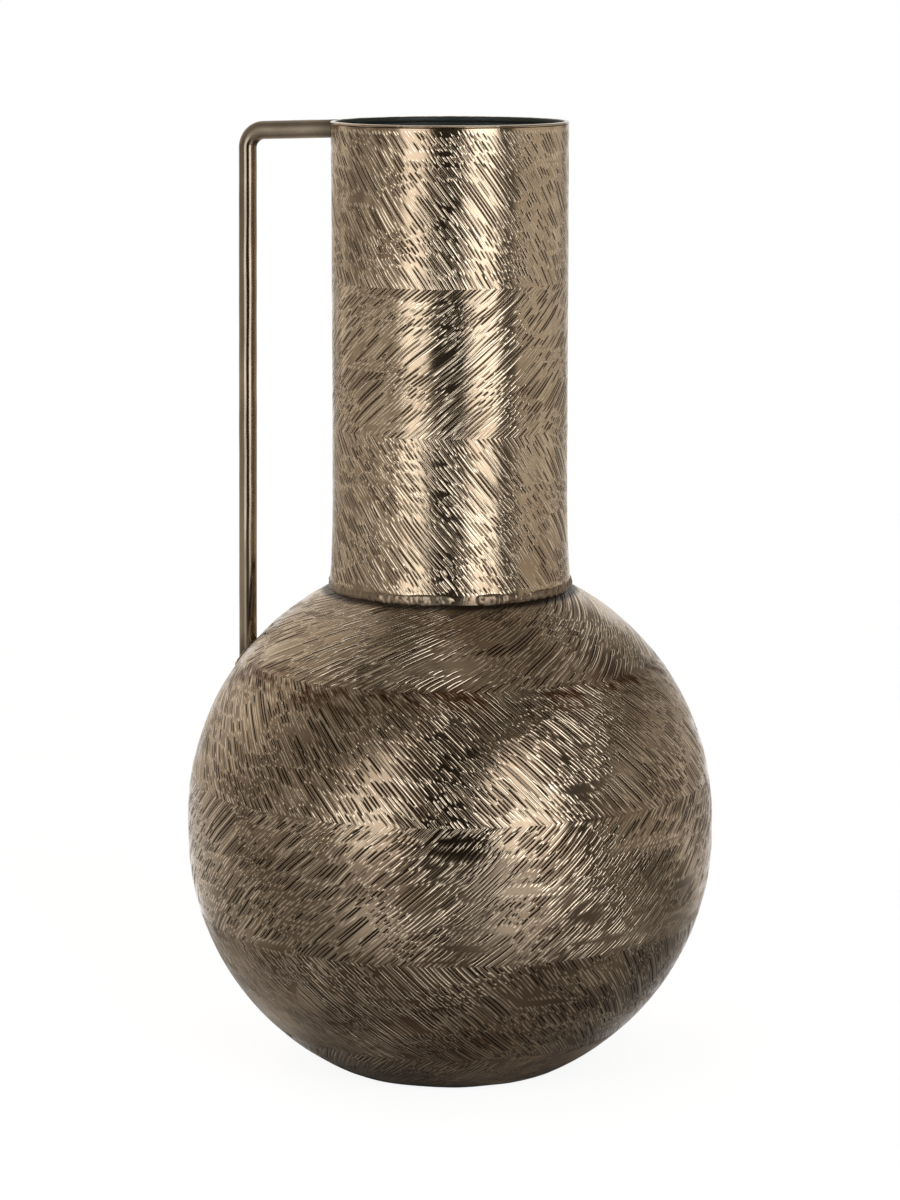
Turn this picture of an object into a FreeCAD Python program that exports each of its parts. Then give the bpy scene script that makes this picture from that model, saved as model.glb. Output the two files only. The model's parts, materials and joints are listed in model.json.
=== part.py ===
"""Urn vase: a hollow metal globe in two bowls, a tall neck tube with a lip, and a bent rod handle.

Lengths are millimetres and angles degrees. Z points up, the origin is the middle of the foot's
underside, and the handle stands in the plane Y = 0 on the -X side. Every piece is one solid.
"""
import FreeCAD, Part
import math
import os

from FreeCAD import Vector

# Whole vase
overall_height = 483.0

# Body: two bowls that share one sphere radius, each with a short straight skirt at the joint
body_radius = 135.0
bowl_wall = 2.4
skirt_height = 7.0
foot_radius = 61.5
foot_inner_rounding = 3.6

# Weld that joins the bowls: a bevelled groove filled flush with the outside
seam_face_width = 4.0
seam_root_width = 1.6

# Neck tube: straight, then flared where it comes down on the body
neck_radius = 59.6
neck_wall = 2.4
neck_flare = 2.0
neck_flare_height = 50.0

# Bead round the root of the neck
neck_bead_width = 2.2
neck_bead_height = 4.0
neck_bead_bulge = 0.6

# Lip ring on the top edge of the neck
lip_height = 3.2
lip_overhang = 0.6

# Handle: round rod from the lip outwards, bent once, then down to the shoulder
rod_radius = 4.6
bend_inside_radius = 4.4
handle_foot_angle = 53.6
bar_fall_angle = 1.7
upright_lean_angle = 0.5

# Beads at the two ends of the handle
top_bead_radius = 1.8
foot_bead_radius = 1.8

# Cutting tools reach this far past what they cut
overrun = 6.0

FULL_TURN = 360.0
ORIGIN = Vector(0, 0, 0)
UP = Vector(0, 0, 1)

# Heights that follow from the sizes above
foot_rounding = foot_inner_rounding + bowl_wall
lower_centre = math.sqrt(body_radius ** 2 - foot_radius ** 2)
seam_level = lower_centre + skirt_height / 2
upper_centre = lower_centre + skirt_height
neck_top = overall_height - lip_height
neck_root_radius = neck_radius + neck_flare
bore_radius = neck_radius - neck_wall
mouth_radius = neck_root_radius - neck_wall
lip_radius = neck_radius + lip_overhang
lip_width = neck_wall + lip_overhang
lip_round_start = overall_height - lip_width / 2


def on_section(radius, height):
    """A point of a turned profile, in the plane Y = 0."""
    return Vector(radius, 0, height)


def line(start, end):
    return Part.LineSegment(start, end).toShape()


def arc(start, middle, end):
    return Part.Arc(start, middle, end).toShape()


def turned(edges):
    """The solid of a closed profile turned once about the vase's axis."""
    face = Part.Face(Part.Wire(edges))
    return face.revolve(ORIGIN, UP, FULL_TURN)


def shoulder_height(radius, sphere_radius=body_radius):
    """Height of the upper bowl's sphere at a distance from the axis."""
    return upper_centre + math.sqrt(sphere_radius ** 2 - radius ** 2)


def round_point(centre_height, radius, angle):
    """A point on a circle about the axis height given, with the angle measured up from the level."""
    return on_section(radius * math.cos(angle), centre_height + radius * math.sin(angle))


def sphere_arc(centre_height, radius, first_angle, last_angle):
    middle_angle = (first_angle + last_angle) / 2
    start = round_point(centre_height, radius, first_angle)
    middle = round_point(centre_height, radius, middle_angle)
    end = round_point(centre_height, radius, last_angle)
    return arc(start, middle, end)


def shoulder_arc(sphere_radius, first_radius, last_radius):
    """Part of the upper sphere between two distances from the axis."""
    first_angle = math.acos(first_radius / sphere_radius)
    last_angle = math.acos(last_radius / sphere_radius)
    return sphere_arc(upper_centre, sphere_radius, first_angle, last_angle)


def foot_profile(inset):
    """Half profile of the lower bowl's skin at an inset from the outside, from the axis to the skirt."""
    centre_radius = math.sqrt((body_radius - foot_rounding) ** 2 - (lower_centre - foot_rounding) ** 2)
    rounding = foot_rounding - inset
    tangent_angle = -math.acos(centre_radius / (body_radius - foot_rounding))
    middle_angle = (tangent_angle - math.pi / 2) / 2
    flat_end = on_section(centre_radius, inset)
    middle = Vector(rounding * math.cos(middle_angle), 0, rounding * math.sin(middle_angle))
    middle = middle + on_section(centre_radius, foot_rounding)
    round_end = round_point(lower_centre, body_radius - inset, tangent_angle)
    return [
        line(on_section(0, inset), flat_end),
        arc(flat_end, middle, round_end),
        sphere_arc(lower_centre, body_radius - inset, tangent_angle, 0),
    ]


def lower_bowl():
    """Flat foot, rounded edge, hemisphere and skirt, with the groove's bevel on its top edge."""
    inner_radius = body_radius - bowl_wall
    outer_top = on_section(body_radius, seam_level - seam_face_width / 2)
    inner_top = on_section(inner_radius, seam_level - seam_root_width / 2)
    edges = foot_profile(0)
    edges += [
        line(on_section(body_radius, lower_centre), outer_top),
        line(outer_top, inner_top),
        line(inner_top, on_section(inner_radius, lower_centre)),
    ]
    edges += reversed(foot_profile(bowl_wall))
    edges.append(line(on_section(0, bowl_wall), ORIGIN))
    return turned(Part.__sortEdges__(edges))


def upper_bowl():
    """Skirt and hemisphere, open at the top with the same hole as the neck's bore there."""
    inner_radius = body_radius - bowl_wall
    outer_bottom = on_section(body_radius, seam_level + seam_face_width / 2)
    inner_bottom = on_section(inner_radius, seam_level + seam_root_width / 2)
    outer_mouth = on_section(mouth_radius, shoulder_height(mouth_radius))
    inner_mouth = on_section(mouth_radius, shoulder_height(mouth_radius, inner_radius))
    edges = [
        line(outer_bottom, on_section(body_radius, upper_centre)),
        shoulder_arc(body_radius, body_radius, mouth_radius),
        line(outer_mouth, inner_mouth),
        shoulder_arc(inner_radius, mouth_radius, inner_radius),
        line(on_section(inner_radius, upper_centre), inner_bottom),
        line(inner_bottom, outer_bottom),
    ]
    return turned(edges)


def body_seam_weld():
    """Ring of filler in the groove between the bowls, dressed flush inside and out."""
    inner_radius = body_radius - bowl_wall
    corners = [
        on_section(body_radius, seam_level - seam_face_width / 2),
        on_section(body_radius, seam_level + seam_face_width / 2),
        on_section(inner_radius, seam_level + seam_root_width / 2),
        on_section(inner_radius, seam_level - seam_root_width / 2),
    ]
    following = corners[1:] + corners[:1]
    return turned([line(start, end) for start, end in zip(corners, following)])


def flare_start(radius):
    """Height where the flare begins on a neck surface that is straight at the radius given."""
    return shoulder_height(radius + neck_flare) + neck_flare_height


def flare_radius(radius, height):
    """Radius of that surface at a height in the flare, which widens with the square of the drop."""
    drop_share = (flare_start(radius) - height) / neck_flare_height
    return radius + neck_flare * drop_share ** 2


def flare_point(radius, height):
    return on_section(flare_radius(radius, height), height)


def flare_curve(radius, low_height, high_height):
    """The flare's profile between two heights, a parabola that two tangents and their crossing give."""
    middle_height = (low_height + high_height) / 2
    low = flare_point(radius, low_height)
    high = flare_point(radius, high_height)
    middle = flare_point(radius, middle_height)
    control = middle * 2 - (low + high) * 0.5
    curve = Part.BezierCurve()
    curve.setPoles([low, control, high])
    return curve.toShape()


def bead_land():
    """Straight end of the neck's outside, which the bead covers."""
    root_height = shoulder_height(neck_root_radius)
    return line(on_section(neck_root_radius, root_height), bead_top())


def bead_top():
    return flare_point(neck_radius, shoulder_height(neck_root_radius) + neck_bead_height)


def neck_tube():
    """Straight tube whose lower end flares and is cut to the curve of the shoulder."""
    outer_start = flare_start(neck_radius)
    inner_start = flare_start(bore_radius)
    edges = [
        shoulder_arc(body_radius, mouth_radius, neck_root_radius),
        bead_land(),
        flare_curve(neck_radius, bead_top().z, outer_start),
        line(on_section(neck_radius, outer_start), on_section(neck_radius, neck_top)),
        line(on_section(neck_radius, neck_top), on_section(bore_radius, neck_top)),
        line(on_section(bore_radius, neck_top), on_section(bore_radius, inner_start)),
        flare_curve(bore_radius, shoulder_height(mouth_radius), inner_start),
    ]
    return turned(Part.__sortEdges__(edges))


def neck_weld():
    """Rounded bead in the corner between the neck and the shoulder."""
    top = bead_top()
    toe_radius = neck_root_radius + neck_bead_width
    toe = on_section(toe_radius, shoulder_height(toe_radius))
    chord = toe - top
    outward = Vector(-chord.z, 0, chord.x).normalize()
    crown = (top + toe) * 0.5 + outward * neck_bead_bulge
    edges = [
        shoulder_arc(body_radius, neck_root_radius, toe_radius),
        arc(toe, crown, top),
        bead_land(),
    ]
    return turned(Part.__sortEdges__(edges))


def lip_ring():
    """Ring on the neck's top edge, flush with the bore, with a half round crest."""
    crest = on_section(lip_radius - lip_width / 2, overall_height)
    outer_low = on_section(lip_radius, neck_top)
    outer_high = on_section(lip_radius, lip_round_start)
    inner_low = on_section(bore_radius, neck_top)
    inner_high = on_section(bore_radius, lip_round_start)
    edges = [
        line(inner_low, outer_low),
        line(outer_low, outer_high),
        arc(outer_high, crest, inner_high),
        line(inner_high, inner_low),
    ]
    return turned(edges)


def on_handle(distance, height):
    """A point in the handle's plane, at a distance from the axis on the handle's side."""
    return Vector(-distance, 0, height)


def bar_direction():
    """Along the bar, away from the neck."""
    fall = math.radians(bar_fall_angle)
    return on_handle(math.cos(fall), -math.sin(fall))


def upright_direction():
    """Along the upright, down to the body."""
    lean = math.radians(upright_lean_angle)
    return on_handle(math.sin(lean), -math.cos(lean))


def bar_start():
    """Where the bar's axis meets the neck, so that the rod's top is level with the lip."""
    return on_handle(neck_radius, overall_height - rod_radius)


def handle_foot():
    """Where the upright's axis meets the shoulder."""
    angle = math.radians(handle_foot_angle)
    return on_handle(body_radius * math.sin(angle), upper_centre + body_radius * math.cos(angle))


def handle_corner():
    """Where the axes of the bar and the upright would cross without the bend."""
    fall_slope = math.tan(math.radians(bar_fall_angle))
    lean_slope = math.tan(math.radians(upright_lean_angle))
    start = bar_start()
    foot = handle_foot()
    level_at_axis = start.z + fall_slope * neck_radius
    distance = (-foot.x - lean_slope * (level_at_axis - foot.z)) / (1 - lean_slope * fall_slope)
    return on_handle(distance, level_at_axis - fall_slope * distance)


def handle_path():
    """Axis of the rod from inside the neck, through the bend, to inside the body."""
    bend_radius = bend_inside_radius + rod_radius
    corner = handle_corner()
    along_bar = bar_direction()
    along_upright = upright_direction()
    turn = along_bar.getAngle(along_upright)
    setback = bend_radius * math.tan(turn / 2)
    bend_start = corner - along_bar * setback
    bend_end = corner + along_upright * setback
    to_corner = (along_bar - along_upright).normalize()
    centre = corner - to_corner * (bend_radius / math.cos(turn / 2))
    bend_middle = centre + to_corner * bend_radius
    start = bar_start() - along_bar * (neck_wall / 2)
    end = handle_foot() + along_upright * (3 * rod_radius)
    return Part.Wire([
        line(start, bend_start),
        arc(bend_start, bend_middle, bend_end),
        line(bend_end, end),
    ])


def whole_rod():
    """The rod before its ends are cut to fit."""
    path = handle_path()
    start = path.OrderedVertexes[0].Point
    section = Part.Face(Part.Wire(Part.makeCircle(rod_radius, start, bar_direction())))
    return path.makePipe(section)


def neck_outside():
    """Solid that fills the neck and lip up to past the top, to cut what is fitted against them."""
    level = shoulder_height(neck_root_radius)
    tube = Part.makeCylinder(neck_radius, neck_top - level, on_section(0, level))
    lip = Part.makeCylinder(lip_radius, lip_height + overrun, on_section(0, neck_top))
    return [tube, lip]


def body_outside():
    """Solid sphere of the upper bowl's outside."""
    return [Part.makeSphere(body_radius, on_section(0, upper_centre))]


def fitted(solid, tools):
    """What is left of the solid outside all the tools."""
    for tool in tools:
        solid = solid.cut(tool)
    return max(solid.Solids, key=lambda piece: piece.Volume)


def handle_rod():
    """Bent rod with its upper end cut to the neck and lip and its foot cut to the shoulder."""
    return fitted(whole_rod(), neck_outside() + body_outside())


def handle_top_weld():
    """Bead round the rod where it meets the neck, dressed off level below the rounded crest."""
    bead = Part.makeTorus(rod_radius, top_bead_radius, bar_start(), bar_direction())
    side = 2 * (rod_radius + top_bead_radius + overrun)
    corner = bar_start() - Vector(side / 2, side / 2, 0)
    corner.z = lip_round_start
    above = Part.makeBox(side, side, side, corner)
    return fitted(bead, neck_outside() + [whole_rod(), above])


def handle_foot_weld():
    """Bead round the slanted foot of the upright, on an ellipse in the shoulder's tangent plane."""
    foot = handle_foot()
    normal = (foot - on_section(0, upper_centre)).normalize()
    sideways = Vector(0, 1, 0)
    downhill = sideways.cross(normal)
    long_radius = rod_radius / abs(normal.dot(upright_direction()))
    ellipse = Part.Ellipse(foot + downhill * long_radius, foot + sideways * rod_radius, foot)
    path = Part.Wire(ellipse.toShape())
    begin = path.Vertexes[0].Point
    heading = ellipse.tangent(ellipse.FirstParameter)[0]
    section = Part.Wire(Part.makeCircle(foot_bead_radius, begin, heading))
    bead = path.makePipeShell([section], True, True)
    return fitted(bead, body_outside() + [whole_rod()])


PIECES = {
    "lower_bowl": lower_bowl,
    "upper_bowl": upper_bowl,
    "body_seam_weld": body_seam_weld,
    "neck_tube": neck_tube,
    "neck_weld": neck_weld,
    "lip_ring": lip_ring,
    "handle_rod": handle_rod,
    "handle_top_weld": handle_top_weld,
    "handle_foot_weld": handle_foot_weld,
}


def main():
    os.makedirs("parts", exist_ok=True)
    for name, make in PIECES.items():
        solid = make()
        solid.exportStep(os.path.join("parts", name + ".step"))
        box = solid.BoundBox
        print(name, solid.ShapeType, "valid", solid.isValid(), "volume", round(solid.Volume, 1),
              "Z", round(box.ZMin, 2), round(box.ZMax, 2))


main()
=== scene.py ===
"""Dressed urn vase: a chased bronze globe and neck, a lip ring, weld beads and a bent rod handle.

Sizes in the classes are millimetres and angles degrees; meshes are written in metres, in the frame
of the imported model. Every chased stroke is worked out twice from one formula, once as real relief in
the mesh and once in the material, where it sharpens the relief and colours the cuts.
"""
import json
import logging
import math
from dataclasses import dataclass, field
from enum import Enum

import bpy
import numpy as np
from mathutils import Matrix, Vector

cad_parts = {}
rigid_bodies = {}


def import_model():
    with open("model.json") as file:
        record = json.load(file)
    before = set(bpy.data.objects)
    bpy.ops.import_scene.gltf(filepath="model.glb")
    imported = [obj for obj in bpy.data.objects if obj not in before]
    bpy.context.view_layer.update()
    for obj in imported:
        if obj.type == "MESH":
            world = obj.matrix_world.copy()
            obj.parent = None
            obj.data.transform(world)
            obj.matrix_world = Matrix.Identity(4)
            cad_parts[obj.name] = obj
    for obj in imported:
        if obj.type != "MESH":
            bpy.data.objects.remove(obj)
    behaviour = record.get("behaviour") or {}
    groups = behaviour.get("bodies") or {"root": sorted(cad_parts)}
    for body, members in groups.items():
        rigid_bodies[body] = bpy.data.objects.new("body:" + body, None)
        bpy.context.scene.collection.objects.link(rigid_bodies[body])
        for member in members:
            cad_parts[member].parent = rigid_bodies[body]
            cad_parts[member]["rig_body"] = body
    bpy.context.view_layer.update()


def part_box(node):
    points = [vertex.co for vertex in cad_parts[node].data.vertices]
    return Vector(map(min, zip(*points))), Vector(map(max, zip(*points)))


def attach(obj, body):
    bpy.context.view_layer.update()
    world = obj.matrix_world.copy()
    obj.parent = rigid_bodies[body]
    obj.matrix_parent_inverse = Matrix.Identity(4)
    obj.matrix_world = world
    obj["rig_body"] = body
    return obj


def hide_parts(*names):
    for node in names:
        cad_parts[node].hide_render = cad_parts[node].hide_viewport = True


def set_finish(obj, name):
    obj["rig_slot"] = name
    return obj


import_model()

log = logging.getLogger("urn_vase")

Array = np.ndarray
Piece = bpy.types.Object
Triple = tuple[float, float, float]
Pair = tuple[float, float]

MM = 0.001
TURN = 2 * math.pi
SIDE = np.array([0.0, 1.0, 0.0])
BODY = "root"
LANES, GRAIN = "lanes", "grain"
# The grime attribute holds dirt and painted shade: corners, creases, pits and undersides get a near-black
# colour.
WORK, COAT, GRIME_AND_SHADE, TONE, STAIN = "work", "coat", "grime", "tone", "stain"


class Slot(str, Enum):
    """Material slots of the record."""

    CHASED = "chased_bronze"
    SMOOTH = "smooth_bronze"
    WELD = "weld_bronze"


class Lean(Enum):
    """Way that a band's strokes run, seen from outside with the foot down."""

    FALLING = 1
    RISING = -1
    PLAIN = 0


def node_box(node: str) -> tuple[Array, Array]:
    """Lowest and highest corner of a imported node, in millimetres."""
    low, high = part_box(node)
    return np.array(low) / MM, np.array(high) / MM


# Numbers in materials


# Places of the sockets for colours on a Mix node
MIX_FIRST, MIX_SECOND, MIX_RESULT = 6, 7, 2


class Graph:
    """Node tree of a material or of the world, emptied, with one method that adds any node."""

    def __init__(self, owner: bpy.types.ID) -> None:
        """Clears a node tree and keeps it.

        Args:
            owner: The material or world that has the tree.
        """
        owner.use_nodes = True
        self.tree = owner.node_tree
        self.tree.nodes.clear()

    def node(self, kind: str, settings: dict | None = None, inputs: dict | None = None) -> bpy.types.Node:
        """Adds a node.

        Args:
            kind: Blender's name for the type of node, after the word ShaderNode.
            settings: Its own properties, which are set before its sockets.
            inputs: Values or links, by the socket's name or number.

        Returns:
            The new node.
        """
        made = self.tree.nodes.new("ShaderNode" + kind)
        for name, value in (settings or {}).items():
            setattr(made, name, value)
        for key, value in (inputs or {}).items():
            self.feed(made.inputs[key], value)
        return made

    def feed(self, socket: bpy.types.NodeSocket, source: object) -> None:
        """Links or sets a socket.

        Args:
            socket: A node's input.
            source: A Value, a socket or a node's first output to link, or a plain value to set.
        """
        if isinstance(source, Value):
            source = source.socket
        if isinstance(source, bpy.types.Node):
            source = source.outputs[0]
        if isinstance(source, bpy.types.NodeSocket):
            self.tree.links.new(source, socket)
        else:
            socket.default_value = source

    def value(self, output: str | int, *node: object) -> "Value":
        """An output, as a Value, of a node that is added from the arguments after it."""
        return Value(self, self.node(*node).outputs[output])

    def math(self, operation: str, *terms: object) -> "Value":
        """A Math node on numbers and Values, as a Value."""
        return self.value(0, "Math", {"operation": operation}, dict(enumerate(terms)))

    def dot(self, first: object, second: object) -> "Value":
        """Dot product of two vectors, as a Value."""
        return self.value("Value", "VectorMath", {"operation": "DOT_PRODUCT"}, {0: first, 1: second})

    def attribute(self, name: str) -> "Value":
        """A piece's own attribute, as a Value."""
        return self.value("Fac", "Attribute", {"attribute_name": name})

    def rays(self) -> list["Value"]:
        """Whether a ray comes from the camera, a gloss or a see-through surface, as three Values."""
        path = self.node("LightPath")
        return [Value(self, path.outputs[f"Is {kind} Ray"]) for kind in ("Camera", "Glossy", "Transmission")]

    def mixed(self, share: object, *colours: object) -> bpy.types.NodeSocket:
        """A colour that goes from the first to the second with the share.

        Args:
            share: 0 for the first colour, 1 for the second.
            *colours: The two colours, each a socket or three numbers.

        Returns:
            The socket with the mixed colour.
        """
        first, second = ((*colour, 1) if isinstance(colour, tuple) else colour for colour in colours)
        mix = self.node("Mix", {"data_type": "RGBA"}, {0: share, MIX_FIRST: first, MIX_SECOND: second})
        return mix.outputs[MIX_RESULT]

    def noise(self, place: bpy.types.NodeSocket, scale: float, detail: float = 2.0,
              stretch: Triple = (1, 1, 1)) -> "Value":
        """Soft noise from 0 to 1.

        Args:
            place: Coordinates that it is read at.
            scale: Features to a unit of those.
            detail: Finer octaves.
            stretch: Factors on the coordinates.

        Returns:
            The noise as a Value.
        """
        moved = self.node("Mapping", inputs={"Vector": place, "Scale": stretch})
        return self.value("Fac", "TexNoise", None, {"Vector": moved, "Scale": scale, "Detail": detail})


class Value:
    """A number that varies over a surface. Arithmetic on it adds Math nodes."""

    def __init__(self, graph: Graph, socket: bpy.types.NodeSocket) -> None:
        """Keeps the tree and the socket that gives the number."""
        self.graph = graph
        self.socket = socket

    def __add__(self, other: object) -> "Value":
        """Sum."""
        return self.graph.math("ADD", self, other)

    def __sub__(self, other: object) -> "Value":
        """Difference."""
        return self.graph.math("SUBTRACT", self, other)

    def __rsub__(self, other: object) -> "Value":
        """Difference from a plain number."""
        return self.graph.math("SUBTRACT", other, self)

    def __mul__(self, other: object) -> "Value":
        """Product."""
        return self.graph.math("MULTIPLY", self, other)

    def __truediv__(self, other: object) -> "Value":
        """Quotient."""
        return self.graph.math("DIVIDE", self, other)

    __radd__ = __add__
    __rmul__ = __mul__


def whole(number: object) -> object:
    """Whole part of a Value or an array."""
    return number.graph.math("FLOOR", number) if isinstance(number, Value) else np.floor(number)


def at_least(number: object, floor: object) -> object:
    """The larger of two numbers, for Values and arrays."""
    if isinstance(number, Value):
        return number.graph.math("MAXIMUM", number, floor)
    return np.maximum(number, floor)


def at_most(number: object, ceiling: object) -> object:
    """The smaller of two numbers, for Values and arrays."""
    if isinstance(number, Value):
        return number.graph.math("MINIMUM", number, ceiling)
    return np.minimum(number, ceiling)


def eased(share: object) -> object:
    """0 below 0, 1 above 1 and t squared times (3 - 2t) between."""
    held = at_most(at_least(share, 0.0), 1.0)
    return held * held * (3 - 2 * held)


def ramp_up(number: object, start: object, span: float) -> object:
    """0 up to the start, then eased to 1 over the span."""
    return eased((number - start) / span)


def ramp_down(number: object, end: object, span: float) -> object:
    """0 from the end on, with an eased fall from 1 over the span before it."""
    return eased((end - number) / span)


# The hash of Blender's White Noise node: its start, the places by which it turns bits, and its words
NOISE_START = 0xDEADBEEF + (3 << 2) + 13
NOISE_TURNS = (14, 11, 25, 16, 4, 14, 24)
WORD_BITS = 32


def hashed(*keys: Array) -> Array:
    """Random numbers from 0 to 1 that match the White Noise node for the same three numbers.

    The three keys' bits, each with the start added, make three words of 32 bits. Step by step a
    word becomes its exclusive or with the word before it, less that word with its bits turned
    round. The last one is divided by the largest such number.

    Args:
        *keys: The three numbers, broadcast together.

    Returns:
        A random number for each place.
    """
    shape = np.broadcast(*keys).shape
    words = [np.broadcast_to(np.float32(key), shape).astype(np.float32).view(np.uint32)
             + np.uint32(NOISE_START) for key in keys]
    words = words[-1:] + words[:-1]
    for step, places in enumerate(NOISE_TURNS):
        now, before = step % len(words), words[step % len(words) - 1]
        turned = (before << np.uint32(places)) | (before >> np.uint32(WORD_BITS - places))
        words[now] = (words[now] ^ before) - turned
    return words[now].astype(np.float64) / (2 ** WORD_BITS - 1)


def drawn(lane: object, course: object, seed: float) -> object:
    """A random number from 0 to 1 for a cell of the chasing.

    Args:
        lane: Number of the cell across, a Value or an array.
        course: Number of the cell down, of the same kind.
        seed: Which of the cell's numbers.

    Returns:
        The same numbers as a Value or as an array.
    """
    if not isinstance(lane, Value):
        return hashed(lane, course, np.float32(seed))
    cell = lane.graph.node("CombineXYZ", inputs={0: lane, 1: course, 2: seed})
    return lane.graph.value("Value", "TexWhiteNoise", {"noise_dimensions": "3D"}, {"Vector": cell})


@dataclass(frozen=True)
class Stroke:
    """One cut of the chasing tool, within a cell that is one lane wide and one course long."""

    first_start: float = 0.01
    start_spread: float = 0.22
    last_finish: float = 0.99
    finish_spread: float = 0.26
    bundle_size: float = 4.3
    bundle_spread: float = 0.15
    rise: float = 0.14
    fall: float = 0.22
    half_width: float = 0.23
    width_spread: float = 0.08
    narrow_end: float = 0.4
    wander: float = 0.42
    tilt: float = 0.24
    shallow: float = 0.35
    course_shift: float = 9.0
    course_skew: float = 1.5
    layer_shift: float = 0.5
    layer_seeds: int = 8
    luck_seeds: tuple[int, ...] = (0, 1, 2, 3)
    bundle_seed: int = 4
    course_seeds: tuple[int, ...] = (5, 6)

    def depth(self, lanes: object, courses: object, layer: int) -> object:
        """Depth of the cut from 0 to 1.

        Each course shifts and skews its lanes by random amounts. The whole parts of the two
        coordinates then name the cell, whose random numbers give where the cut starts and ends,
        how wide and deep it is and how far it sits off the lane's middle. Cuts that lie side by
        side start and end together in bundles. Across, the depth is 1 less x squared; along, it
        rises and falls with eased ends, where the cut also narrows. The second layer lies half a
        course lower.

        Args:
            lanes: Coordinate across the strokes, one to a lane.
            courses: Coordinate down the surface, one to a course.
            layer: Which of the two overlapping layers of strokes.

        Returns:
            A Value or an array, as the coordinates are.
        """
        seed = self.layer_seeds * layer
        lower = courses + self.layer_shift * layer
        course = whole(lower)
        along = lower - course
        moved, skewed = (drawn(course, course, seed + number) for number in self.course_seeds)
        lanes = lanes + self.course_shift * moved + self.course_skew * (skewed - 0.5) * (along - 0.5)
        lane = whole(lanes)
        across = lanes - lane
        luck = [drawn(lane, course, seed + number) for number in self.luck_seeds]
        bundle = drawn(whole(lane / self.bundle_size), course, seed + self.bundle_seed)
        start = self.first_start + self.start_spread * luck[0] + self.bundle_spread * bundle
        finish = self.last_finish - self.finish_spread * luck[1] - self.bundle_spread * (1 - bundle)
        ends = ramp_up(along, start, self.rise) * ramp_down(along, finish, self.fall)
        middle = 0.5 + self.wander * (luck[2] - 0.5) + self.tilt * (luck[1] - 0.5) * (along - 0.5)
        narrowed = self.narrow_end + (1 - self.narrow_end) * ends
        offset = (across - middle) / ((self.half_width + self.width_spread * luck[3]) * narrowed)
        deep = self.shallow + (1 - self.shallow) * luck[3]
        return at_least(1 - offset * offset, 0.0) * ends * deep

    def cuts(self, lanes: object, courses: object) -> object:
        """The deeper of the two layers' cuts."""
        return at_least(self.depth(lanes, courses, 0), self.depth(lanes, courses, 1))


STROKE = Stroke()


# Shapes and meshes


WAVE_COUNT = 40
WAVE_SPREAD = (0.6, 1.4)
DOUBLED_WITHIN = 1e-6


def waves(points: Array, lengths: float | Triple, seed: int) -> Array:
    """Smooth noise about 0 with a spread of about 1: a sum of plane waves of random direction.

    Each wave is the cosine of a random vector times the point, plus a random phase. The vector's
    length is near 2 pi over the wave length along each axis.

    Args:
        points: Places, in millimetres, with x, y and z last.
        lengths: Wave length, or one each along x, y and z.
        seed: Seed of the random draws.

    Returns:
        The noise at each place.
    """
    draw = np.random.default_rng(seed)
    heading = draw.normal(size=(WAVE_COUNT, 3))
    heading /= np.linalg.norm(heading, axis=1, keepdims=True)
    heading *= TURN / np.array(lengths) * draw.uniform(*WAVE_SPREAD, (WAVE_COUNT, 1))
    phase = draw.uniform(0, TURN, WAVE_COUNT)
    total = np.zeros(points.shape[:-1])
    for vector, shift in zip(heading, phase):
        total += np.cos(points @ vector + shift)
    return total * math.sqrt(2 / WAVE_COUNT)


def turns(count: int, start: float = 0.0) -> Array:
    """Angles in equal steps once round from a start, in radians."""
    return start + TURN * np.arange(count) / count


def bell(distance: Array, width: float) -> Array:
    """1 at no distance, fading as e to the minus square of the distance over the width."""
    return np.exp(-(distance / width) ** 2)


def round_axis(radius: Array, height: Array, angle: Array) -> Array:
    """Points at a radius, height and angle about the vase's axis, all broadcast together."""
    parts = np.broadcast_arrays(radius * np.cos(angle), radius * np.sin(angle), height)
    return np.stack(parts, axis=-1)


@dataclass
class Profile:
    """Half section of a turned surface: a fine line of points, read by the run along it."""

    radius: Array
    height: Array
    run: Array = field(init=False)

    def __post_init__(self) -> None:
        """Adds up the steps between the points."""
        steps = np.hypot(np.diff(self.radius), np.diff(self.height))
        self.run = np.concatenate([[0.0], np.cumsum(steps)])

    def at(self, run: Array) -> tuple[Array, Array]:
        """Radius and height at a run."""
        return np.interp(run, self.run, self.radius), np.interp(run, self.run, self.height)

    def spread(self, count: int) -> tuple[Array, Array]:
        """Radius and height at evenly spread runs."""
        return self.at(np.linspace(0, self.run[-1], count))

    def outward(self, run: Array, reach: float = 0.2) -> tuple[Array, Array]:
        """Radial and upward part of the normal: the line's direction, turned a quarter.

        Args:
            run: Runs at which it is wanted.
            reach: How far before and after them the direction is taken.

        Returns:
            The two parts, of length 1 together.
        """
        before, after = self.at(run - reach), self.at(run + reach)
        out, up = after[0] - before[0], after[1] - before[1]
        size = np.hypot(out, up)
        return -up / size, out / size

    def run_at(self, height: float) -> float:
        """Run at which a profile that only falls has a height."""
        return float(np.interp(-height, -self.height, self.run))


def arc_points(centre: Pair, radius: float, first: float, last: float, count: int = 400
               ) -> tuple[Array, Array]:
    """Radius and height along a circle, with its angles in radians up from the level."""
    angle = np.linspace(first, last, count)
    return centre[0] + radius * np.cos(angle), centre[1] + radius * np.sin(angle)


def joined(*parts: tuple[object, object]) -> Profile:
    """A profile of several parts in a row, with doubled points left out.

    Args:
        *parts: Radius and height of runs of points or of single points.

    Returns:
        The profile.
    """
    radius, height = (np.concatenate([np.atleast_1d(line) for line in lines]) for lines in zip(*parts))
    keep = np.concatenate([[True], np.hypot(np.diff(radius), np.diff(height)) > DOUBLED_WITHIN])
    return Profile(radius[keep], height[keep])


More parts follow.
